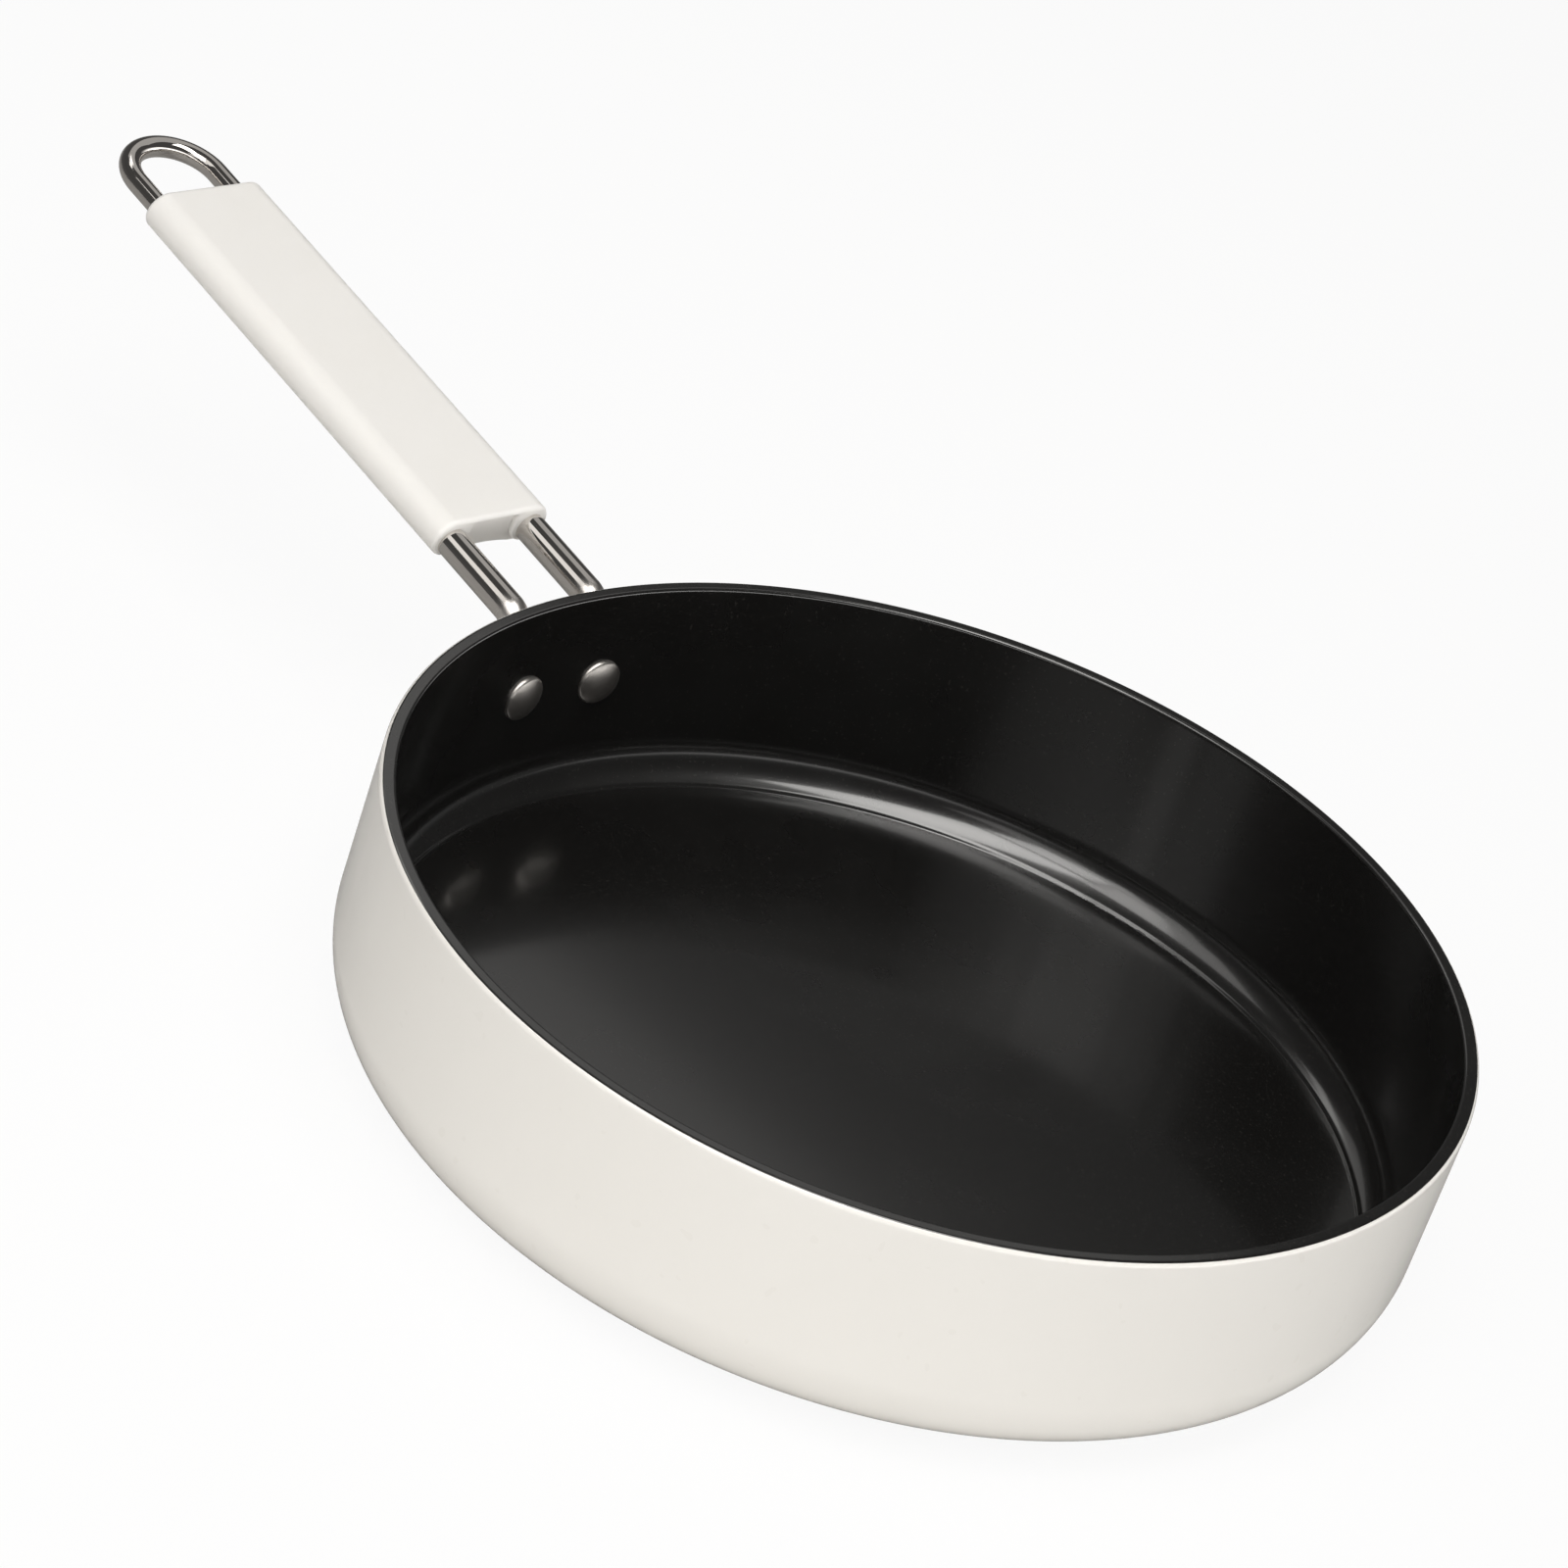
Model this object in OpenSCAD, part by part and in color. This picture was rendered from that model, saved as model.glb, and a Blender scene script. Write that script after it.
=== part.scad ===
// Omelette pan: a straight-sided cast pan, enamelled white outside and lined black inside,
// with two steel tube legs riveted to the wall, a moulded grip and a wire hanging loop.
// The base stands on z = 0 with the pan's axis on z, and the handle runs along +x.

/* [Pan] */
// Outside diameter over the enamel
pan_d = 282; // [250:1:320]
// Height of the rim above the hob
pan_h = 65; // [58:1:90]
// Thickness of the cast wall
wall_t = 3.2; // [2.4:0.1:4.4]
// Thickness of the cast floor, from the turned base up
floor_t = 7; // [6:0.5:9]
// Thickness of the enamel outside and of the lining inside
coat_t = 0.5; // [0.3:0.05:0.7]
// Outside radius between wall and base
corner_r = 21; // [17:0.5:22.5]
// Inside radius between wall and floor
fillet_r = 12; // [10:0.5:14]
// Distance from the inside wall to the edge of the flat floor
floor_inset = 7.3; // [5:0.1:9]
// Diameter of the round-bottomed groove at the edge of the flat floor
groove_d = 1.2; // [0.8:0.1:1.8]
// Rounding of the rim outside
rim_r = 1.4; // [1:0.1:2]
// Width of that rounding that the lining laps over
rim_lap = 0.7; // [0.4:0.05:0.9]
// Rounding of the lining at the rim
rim_inner_r = 0.9; // [0.5:0.1:1]
// Height that the turned base stands proud of the enamel
base_rise = 0.6; // [0.3:0.1:1.5]
// Distance from the end of the outside radius to the edge of the turned base
base_inset = 3; // [1:0.5:10]

/* [Legs] */
// Rise of the handle above level, in degrees
handle_rise = 8.8; // [4:0.2:16]
// Depth of the handle's centre line below the rim, where it would meet the wall
handle_drop = 9.4; // [7:0.2:12]
// Distance between the centre lines of the two legs
leg_spacing = 27.4; // [25:0.2:34]
// Outside diameter of each leg tube
leg_d = 8.4; // [7.4:0.2:9]
// Radius of the tube's bend at the wall, on its centre line
bend_r = 5; // [4.6:0.2:8]
// Distance between the tube and the wall where the tube turns down
stand_off = 0.5; // [0.3:0.1:3]
// Bare length of the legs between the wall and the grip
leg_bare = 35; // [28:1:60]
// Width of the flattened tang
tang_w = 12.5; // [11.5:0.5:14]
// Thickness of the flattened tang
tang_t = 2; // [1.4:0.1:3]
// Height of the tang above the middle of its rivet
tang_reach = 5.2; // [5.1:0.1:6]

/* [Rivets] */
// Depth of the rivets below the rim
rivet_drop = 27.4; // [26.2:0.2:31]
// Diameter of the rivet shank
rivet_d = 6; // [4.5:0.1:7]
// Diameter of the rivet head inside the pan
head_d = 13; // [10:0.5:14]
// Height of the rivet head inside the pan
head_h = 2.4; // [1.8:0.1:3.2]
// Diameter of the driven end outside the pan
tail_d = 9.6; // [8.4:0.1:10]
// Height of the driven end outside the pan
tail_h = 1.8; // [1.5:0.1:2.6]
// Rounding of the edges of head and driven end
rivet_edge_r = 1.1; // [0.6:0.1:1.4]

/* [Grip] */
// Length of the grip
grip_l = 137.3; // [110:0.1:160]
// Wall of the grip around the legs
grip_wall = 1.7; // [1.6:0.1:3]
// Height of the grip's middle above the middle of the legs
grip_lift = 0.7; // [0:0.1:0.9]
// Rounding of the grip's ends
grip_edge_r = 1.2; // [0.6:0.1:1.4]
// Height of the hollow along the underside
arch_h = 1; // [0.5:0.1:2]
// Depth of the recess between the legs at the pan end
recess_l = 1.5; // [1:0.5:6]

/* [Hanging loop] */
// Diameter of the loop wire
loop_d = 6; // [4.5:0.1:6.5]
// Distance from the end of the grip to the middle of the wire at the loop's tip
loop_reach = 25.2; // [22:0.1:60]
// Length of wire held in each leg
wire_overlap = 30; // [20:1:50]
// Distance that the legs stop short of the grip's outer end
leg_stop = 12; // [8:1:20]
// Diameter of the retaining pins
pin_d = 2.5; // [2:0.1:3]
// Depth of the pin ends below the grip's surface
pin_sink = 0.3; // [0.1:0.1:0.8]

/* [Fits] */
// Radial clearance of rivets and pins in their holes
hole_fit = 0.05; // [0.02:0.01:0.1]
// Radial clearance of the loop wire in the legs
wire_fit = 0.1; // [0.05:0.01:0.2]
// Radial clearance of the legs and wire in the grip
grip_fit = 0.05; // [0.02:0.01:0.1]
// Clearance of the tangs on the enamel
seat_gap = 0.05; // [0.02:0.01:0.1]

/* [Hidden] */

// Facets of the large turned surfaces and of round bars
TURNED = 180;
ROUND = 48;
// Overrun of a cut past the surface it opens
CUT = 1;
// How far a pressed end reaches into its tang, and how far it stays inside the tang's faces
LAP = 0.5;
INSET = 0.1;
// The two sides that the handle's pieces stand on
SIDES = [-1, 1];

// Pan
pan_r = pan_d / 2;
inner_r = pan_r - wall_t - 2 * coat_t;
land_r = pan_r - rim_r;
corner_x = pan_r - corner_r;
corner_z = base_rise + corner_r;
base_r = corner_x - base_inset;
floor_z = floor_t + coat_t;
floor_r = inner_r - floor_inset;
fillet_x = inner_r - fillet_r;
fillet_z = floor_z + sqrt(pow(fillet_r, 2) - pow(floor_r - fillet_x, 2));

// Legs
leg_y = leg_spacing / 2;
leg_bore_d = loop_d + 2 * wire_fit;
handle_z = pan_h - handle_drop;
drop_x = pan_r + stand_off + leg_d / 2;
bend_x = drop_x + bend_r;
bend_z = handle_z + (bend_x - pan_r) * tan(handle_rise) - bend_r / cos(handle_rise);
bend_start = (bend_x - pan_r) * cos(handle_rise) + (bend_z - handle_z) * sin(handle_rise);
bend_angle = 90 - handle_rise;
side_angle = asin(leg_y / pan_r);
// Middle of a leg's upright, measured along and across the line of its rivet
drop_out = drop_x * cos(side_angle) + leg_y * sin(side_angle);
drop_across = leg_y * cos(side_angle) - drop_x * sin(side_angle);

// Rivets and tangs
rivet_z = pan_h - rivet_drop;
tang_r = pan_r + seat_gap;
tang_top = rivet_z + tang_reach;
head_seat_r = sqrt(pow(inner_r, 2) - pow(head_d / 2, 2));
tail_seat_r = tang_r + tang_t;
press_r = sqrt(pow(tang_w / 2, 2) + pow(drop_out - (tang_r + tail_seat_r) / 2, 2));

// Grip, loop and pins, measured along the handle from the wall
grip_start = leg_bare;
grip_end = grip_start + grip_l;
boss_r = leg_d / 2 + grip_wall;
arch_w = leg_spacing - leg_d;
arch_r = (pow(arch_w / 2, 2) + pow(arch_h, 2)) / (2 * arch_h);
leg_end = grip_end - leg_stop;
wire_end = leg_end - wire_overlap;
loop_turn = grip_end + loop_reach - leg_y;
pin_at = leg_end - wire_overlap / 2;
pin_bottom = grip_lift - boss_r + pin_sink;
// The pin's top edge just meets the upper side of the wire
pin_top = sqrt(pow(loop_d / 2, 2) - pow(pin_d / 2, 2));

// Outline of the pan's outside, shrunk by g
module outside(g) {
    low = base_rise + g;
    translate([0, low]) square([corner_x, pan_h - g - low]);
    translate([0, corner_z]) square([pan_r - g, pan_h - rim_r - corner_z]);
    translate([0, corner_z]) square([land_r, pan_h - g - corner_z]);
    translate([corner_x, corner_z]) circle(r = corner_r - g, $fn = TURNED);
    translate([land_r, pan_h - rim_r]) circle(r = rim_r - g, $fn = ROUND);
}

// Outline of the hollow inside the pan, grown by g, open past the rim
module cavity(g) {
    low = floor_z - g;
    intersection() {
        union() {
            square([fillet_x, pan_h + CUT]);
            translate([0, fillet_z]) square([inner_r + g, pan_h + CUT - fillet_z]);
            translate([fillet_x, fillet_z]) circle(r = fillet_r + g, $fn = TURNED);
        }
        translate([0, low]) square([pan_r, pan_h + CUT - low]);
    }
    translate([floor_r, floor_z]) circle(r = groove_d / 2 + g, $fn = ROUND);
}

// Wedge of the rim's outside rounding that the lining covers
module lap_wedge() {
    reach = 1.5;
    rise = sqrt(pow(rim_r, 2) - pow(rim_lap, 2));
    translate([land_r, pan_h - rim_r])
        polygon([[0, 0], [reach * rim_lap, reach * rise], [0, reach * rim_r]]);
}

// What a rounding of radius r takes off an inside rim corner at x, z
module rim_rounding(x, z, r) {
    translate([x, z - r]) difference() {
        translate([-CUT, 0]) square([r + CUT, r + CUT]);
        translate([r, 0]) circle(r = r, $fn = ROUND);
    }
}

// Places children with x pointing straight out through the wall under a leg
module at_side(side) {
    rotate([0, 0, side * side_angle]) children();
}

// The same, at the height of the rivets
module at_rivet(side) {
    at_side(side) translate([0, 0, rivet_z]) children();
}

// Straight round bar along x
module bar(d, length) {
    rotate([0, 90, 0]) cylinder(d = d, h = length, $fn = ROUND);
}

// The two rivet holes
module rivet_holes() {
    for (side = SIDES) at_rivet(side) bar(rivet_d + 2 * hole_fit, pan_r + CUT);
}

// Places children in the handle's frame: x along the handle from the wall, z square to its top
module on_handle() {
    translate([pan_r, 0, handle_z]) rotate([0, -handle_rise, 0]) children();
}

// Upright bar at a retaining pin, from height z0 to z1 in the handle's frame
module at_pin(side, d, z0, z1) {
    translate([pin_at, side * leg_y, z0]) cylinder(d = d, h = z1 - z0, $fn = ROUND);
}

// Cast pan: wall, floor and turned base
module pan_body() {
    color("silver") difference() {
        rotate_extrude($fn = TURNED) difference() {
            union() {
                outside(coat_t);
                square([base_r, floor_t]);
            }
            cavity(coat_t);
        }
        rivet_holes();
    }
}

// White enamel on the outside, from the turned base up to the lining's edge on the rim
module enamel_coat() {
    color("white") difference() {
        rotate_extrude($fn = TURNED) difference() {
            outside(0);
            outside(coat_t);
            square([base_r, floor_t]);
            translate([0, corner_z]) square([land_r, pan_h]);
            lap_wedge();
        }
        rivet_holes();
    }
}

// Black lining over the floor, the inside wall, the land of the rim and part of its rounding
module nonstick_lining() {
    color("dimgray") difference() {
        rotate_extrude($fn = TURNED) difference() {
            union() {
                intersection() {
                    cavity(coat_t);
                    square([pan_r, pan_h]);
                }
                translate([inner_r, pan_h - coat_t]) square([land_r - inner_r, coat_t]);
                intersection() {
                    lap_wedge();
                    translate([land_r, pan_h - rim_r]) difference() {
                        circle(r = rim_r, $fn = ROUND);
                        circle(r = rim_r - coat_t, $fn = ROUND);
                    }
                }
            }
            cavity(0);
            rim_rounding(inner_r, pan_h, rim_inner_r);
        }
        rivet_holes();
    }
}

// Straight and bend of a leg as a round bar of diameter d, in the handle's frame
module leg_run(side, d, end) {
    translate([bend_start, side * leg_y, 0]) bar(d, end - bend_start);
    translate([bend_start, side * leg_y, -bend_r]) rotate([90, 0, 0]) rotate([0, 0, 90])
        rotate_extrude(angle = bend_angle, $fn = TURNED) translate([bend_r, 0]) circle(d = d, $fn = ROUND);
}

// The length of leg over which the tube goes from round to flat and grows wider
module pressed_end(side) {
    low = tang_top - LAP;
    half_top = leg_d / 2 + LAP;
    at_side(side) intersection() {
        rotate([90, 0, 0]) linear_extrude(tang_w - 2 * INSET, center = true) polygon([
            [drop_out - half_top, bend_z],
            [drop_out - half_top, bend_z + CUT],
            [drop_out + half_top, bend_z + CUT],
            [drop_out + half_top, bend_z],
            [tail_seat_r - INSET, tang_top],
            [tail_seat_r - INSET, low],
            [tang_r + INSET, low],
            [tang_r + INSET, tang_top]
        ]);
        translate([drop_out, side * drop_across, low])
            cylinder(r1 = press_r, r2 = leg_d / 2 - INSET, h = bend_z + LAP - low, $fn = ROUND);
    }
}

// Flattened tang, curved to the wall, with a round lower end
module tang(side) {
    intersection() {
        difference() {
            cylinder(r = tang_r + tang_t, h = pan_h, $fn = TURNED);
            translate([0, 0, -CUT]) cylinder(r = tang_r, h = pan_h + 2 * CUT, $fn = TURNED);
        }
        at_rivet(side) {
            bar(tang_w, tang_r + 2 * tang_t);
            translate([0, -tang_w / 2, 0]) cube([tang_r + 2 * tang_t, tang_w, tang_top - rivet_z]);
        }
    }
}

// One leg: a tube from inside the grip to the wall, bent down and pressed flat for its rivet
module leg(side) {
    color("lightsteelblue") difference() {
        union() {
            on_handle() leg_run(side, leg_d, leg_end);
            pressed_end(side);
            tang(side);
        }
        on_handle() {
            leg_run(side, leg_bore_d, leg_end + CUT);
            at_pin(side, pin_d + 2 * hole_fit, -leg_d, 0);
        }
        at_rivet(side) bar(rivet_d + 2 * hole_fit, tang_r + 2 * tang_t);
    }
}

module leg_left() {
    leg(1);
}

module leg_right() {
    leg(-1);
}

// Half section of a rivet end of diameter d and height h: a low dome running into a round edge
module button_outline(d, h) {
    edge_x = d / 2 - rivet_edge_r;
    dome_r = (pow(edge_x, 2) + pow(h, 2) - pow(rivet_edge_r, 2)) / (2 * (h - rivet_edge_r));
    // Way out from the middle of the edge's round through the point where it meets the dome
    way = [edge_x, dome_r - h] / (dome_r - rivet_edge_r);
    intersection() {
        translate([0, h - dome_r]) circle(r = dome_r, $fn = TURNED);
        polygon([[0, 0], [edge_x, 0], [edge_x, 0] + 2 * rivet_edge_r * way, [0, 2 * h]]);
    }
    intersection() {
        translate([edge_x, 0]) circle(r = rivet_edge_r, $fn = ROUND);
        square([d, h]);
    }
}

// Rivets through lining, wall, enamel and tang: domed head inside, driven end outside
module rivets() {
    shank_l = tail_seat_r - head_seat_r;
    color("gray") for (side = SIDES) at_rivet(side) translate([head_seat_r, 0, 0]) rotate([0, 90, 0])
        rotate_extrude($fn = TURNED) {
            mirror([0, 1]) button_outline(head_d, head_h);
            square([rivet_d / 2, shank_l]);
            translate([0, shank_l]) button_outline(tail_d, tail_h);
        }
}

// Half section of a grip boss, with rounded ends
module boss_outline() {
    square([boss_r - grip_edge_r, grip_l]);
    translate([0, grip_edge_r]) square([boss_r, grip_l - 2 * grip_edge_r]);
    for (z = [grip_edge_r, grip_l - grip_edge_r])
        translate([boss_r - grip_edge_r, z]) circle(r = grip_edge_r, $fn = ROUND);
}

// Long section of the grip between its bosses, with the same rounded ends
module web_outline() {
    for (flip = [0, 1]) mirror([0, flip]) mirror([1, -1]) boss_outline();
}

// The grip before boring: two bosses joined by a web, with a hollow along the underside
module grip_blank() {
    difference() {
        translate([grip_start, 0, 0]) {
            for (side = SIDES) translate([0, side * leg_y, 0]) rotate([0, 90, 0])
                rotate_extrude($fn = TURNED) boss_outline();
            rotate([90, 0, 0]) linear_extrude(leg_spacing, center = true) web_outline();
        }
        translate([grip_start - CUT, 0, arch_h - boss_r - arch_r]) rotate([0, 90, 0])
            cylinder(r = arch_r, h = grip_l + 2 * CUT, $fn = TURNED);
        grip_recess();
    }
}

// Recess under the top skin at the pan end, between the bosses
module grip_recess() {
    half_w = leg_y - boss_r;
    translate([grip_start - CUT, -half_w, -boss_r - CUT])
        cube([recess_l + CUT, 2 * half_w, 2 * boss_r + CUT - grip_wall]);
}

// Moulded grip, bored for the legs from the pan end and for the wire from the outer end
module grip() {
    color("whitesmoke") on_handle() difference() {
        translate([0, 0, grip_lift]) grip_blank();
        for (side = SIDES) {
            translate([0, side * leg_y, 0]) bar(leg_d + 2 * grip_fit, leg_end);
            translate([0, side * leg_y, 0]) bar(loop_d + 2 * grip_fit, grip_end + CUT);
            at_pin(side, pin_d + 2 * hole_fit, -boss_r - CUT, 0);
        }
    }
}

// Bent wire loop whose two ends reach back through the grip into the legs
module hanging_loop() {
    color("lightsteelblue") on_handle() difference() {
        union() {
            for (side = SIDES)
                translate([wire_end, side * leg_y, 0]) bar(loop_d, loop_turn - wire_end);
            translate([loop_turn, 0, 0]) rotate([0, 0, -90]) rotate_extrude(angle = 180, $fn = TURNED)
                translate([leg_y, 0]) circle(d = loop_d, $fn = ROUND);
        }
        for (side = SIDES) at_pin(side, pin_d + 2 * hole_fit, -loop_d, loop_d);
    }
}

// Pins driven up from the underside through grip, leg and wire
module retaining_pins() {
    color("gray") on_handle() for (side = SIDES) at_pin(side, pin_d, pin_bottom, pin_top);
}

pan_body();
enamel_coat();
nonstick_lining();
leg_left();
leg_right();
rivets();
grip();
hanging_loop();
retaining_pins();
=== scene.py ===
"""Looks of the omelette pan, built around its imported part.

The pan stands on z = 0 with its axis on Z, and its handle runs along +X. Sizes are in metres.
Each sub-assembly is a class with the part's own sizes as fields. Every surface is a stack of
rings of points, closed at its ends. What several finishes show is a node group.
"""

import logging
import math
from dataclasses import dataclass, field
from enum import Enum

import bmesh
import bpy
import numpy as np
from mathutils import Matrix, Quaternion, Vector

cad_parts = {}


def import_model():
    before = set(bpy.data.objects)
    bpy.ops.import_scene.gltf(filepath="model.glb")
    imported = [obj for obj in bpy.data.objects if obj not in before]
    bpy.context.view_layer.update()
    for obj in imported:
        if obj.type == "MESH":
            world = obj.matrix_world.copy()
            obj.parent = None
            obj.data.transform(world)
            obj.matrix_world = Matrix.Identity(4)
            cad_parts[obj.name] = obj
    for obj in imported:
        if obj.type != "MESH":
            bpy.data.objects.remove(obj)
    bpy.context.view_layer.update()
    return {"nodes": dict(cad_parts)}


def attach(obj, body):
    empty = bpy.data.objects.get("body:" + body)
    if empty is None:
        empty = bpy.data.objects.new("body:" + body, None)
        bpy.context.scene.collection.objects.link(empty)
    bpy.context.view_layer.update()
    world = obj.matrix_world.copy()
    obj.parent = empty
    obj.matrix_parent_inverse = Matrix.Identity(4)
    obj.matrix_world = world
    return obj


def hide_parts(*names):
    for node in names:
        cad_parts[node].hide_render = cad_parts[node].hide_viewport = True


Array = np.ndarray
Material = bpy.types.Material
Node = bpy.types.Node
NodeTree = bpy.types.NodeTree
Object = bpy.types.Object
Socket = bpy.types.NodeSocket
Pair = tuple[float, float]
Triple = tuple[float, float, float]

LOG = logging.getLogger("pan")
MM = 0.001
PHOTO_PIXELS = 1600
SENSOR_WIDTH = 36.0
SAME_PLACE = 1e-7
SHARP_ANGLE = 38.0
FULL: Pair = (0.0, 1.0)


class Side(Enum):
    """The two sides of the handle, with the sign of Y on each."""

    LEFT = 1
    RIGHT = -1


class Ends(Enum):
    """How a stack of rings is closed."""

    POLES = "poles"
    CAPS = "caps"
    JOINED = "joined"


class Slot(Enum):
    """The record's material slots."""

    CASTING = "cast_aluminium"
    ENAMEL = "white_enamel"
    LINING = "black_nonstick"
    POLISHED = "polished_steel"
    SATIN = "satin_steel"
    GRIP = "white_plastic"


Materials = dict[Slot, Material]


# --- curves and surfaces


def points_of(*parts: Array | float) -> Array:
    """Points from their coordinates, which are stretched to one shape."""
    return np.stack(np.broadcast_arrays(*parts), axis=-1)


def unit(vectors: Array) -> Array:
    """Vectors at length 1."""
    return vectors / np.linalg.norm(vectors, axis=-1, keepdims=True)


def full_turn(count: int) -> Array:
    """Even angles all the way round, in radians."""
    return np.linspace(0, 2 * np.pi, count, endpoint=False)


def travelled(points: Array) -> Array:
    """Distance of each point from the first one, along the run of points."""
    step = np.linalg.norm(np.diff(points, axis=0), axis=1)
    return np.concatenate(((0.0,), np.cumsum(step)))


def eased(start: float, end: float, count: int) -> Array:
    """Numbers closer together near both ends: the share is (1 - cos a) / 2 for even a."""
    share = (1 - np.cos(np.linspace(0, np.pi, count))) / 2
    return start + share * (end - start)


def line(start: Pair, end: Pair, count: int) -> Array:
    """Points on a straight line, closer together near its ends."""
    return points_of(eased(start[0], end[0], count), eased(start[1], end[1], count))


def arc(centre: Pair, radius: float, start: float, end: float, count: int) -> Array:
    """Points on a circle between two angles in degrees, anticlockwise from the first axis."""
    angle = np.radians(np.linspace(start, end, count))
    return np.asarray(centre) + radius * points_of(np.cos(angle), np.sin(angle))


def joined(*runs: Array) -> Array:
    """Several runs of points as one, without the points that repeat their neighbour."""
    points = np.concatenate(runs)
    step = np.linalg.norm(np.diff(points, axis=0), axis=1)
    return points[np.concatenate(([True], step > SAME_PLACE))]


def revolved(profile: Array, count: int) -> Array:
    """Rings of a surface of revolution: a profile point (r, z) goes to (r cos a, r sin a, z)."""
    angle = full_turn(count)
    radius, height = profile[:, :1], profile[:, 1:]
    return points_of(radius * np.cos(angle), radius * np.sin(angle), height)


def turned(points: Array, axis: str, degrees: float) -> Array:
    """Points of any shape (..., 3) turned about an axis through the origin."""
    matrix = np.array(Matrix.Rotation(math.radians(degrees), 3, axis))
    return points @ matrix.T


def smooth_step(values: Array, low: float, high: float) -> Array:
    """0 below low, 1 above high, and 3t^2 - 2t^3 in between."""
    share = np.clip((values - low) / (high - low), 0, 1)
    return share * share * (3 - 2 * share)


def placed(name: str, data: bpy.types.ID) -> Object:
    """A new object made of its data, linked to the scene."""
    thing = bpy.data.objects.new(name, data)
    bpy.context.scene.collection.objects.link(thing)
    return thing


def closed_mesh(name: str, rings: Array, ends: Ends, run: Array | None = None) -> Object:
    """Makes a closed object from a stack of rings.

    Neighbouring rings are joined by quads. Rings whose points all fall together close to a
    pole. Faces are turned outwards, and edges sharper than the limit shade as edges.

    Args:
        name: Name of the piece.
        rings: Points, shape (rows, columns, 3).
        ends: How the first and last ring are closed.
        run: Unbent coordinates of each point for a pattern that follows the piece, or None.

    Returns:
        The object, at the origin, linked to the scene.
    """
    rows, columns = rings.shape[:2]
    index = np.arange(rows * columns).reshape(rows, columns)
    upper = np.roll(index, -1, axis=0) if ends is Ends.JOINED else index[1:]
    lower = index if ends is Ends.JOINED else index[:-1]
    quads = points_of(lower, np.roll(lower, -1, axis=1), np.roll(upper, -1, axis=1), upper)
    faces = quads.reshape(-1, 4).tolist()
    if ends is Ends.CAPS:
        faces += [index[0].tolist(), index[-1].tolist()]
    mesh = bpy.data.meshes.new(name)
    mesh.from_pydata(rings.reshape(-1, 3).tolist(), [], faces)
    if run is not None:
        layer = mesh.attributes.new("run", "FLOAT_VECTOR", "POINT")
        layer.data.foreach_set("vector", run.astype(np.float32).ravel())
    shell = bmesh.new()
    shell.from_mesh(mesh)
    bmesh.ops.remove_doubles(shell, verts=shell.verts, dist=SAME_PLACE)
    bmesh.ops.recalc_face_normals(shell, faces=shell.faces)
    if shell.calc_volume(signed=True) < 0:
        bmesh.ops.reverse_faces(shell, faces=shell.faces)
    shell.to_mesh(mesh)
    shell.free()
    mesh.polygons.foreach_set("use_smooth", np.ones(len(mesh.polygons), bool))
    mesh.set_sharp_from_angle(angle=math.radians(SHARP_ANGLE))
    return placed(name, mesh)


# --- node trees


def colour(values: Triple) -> tuple[float, ...]:
    """A colour with full alpha."""
    return (*values, 1.0)


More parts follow.
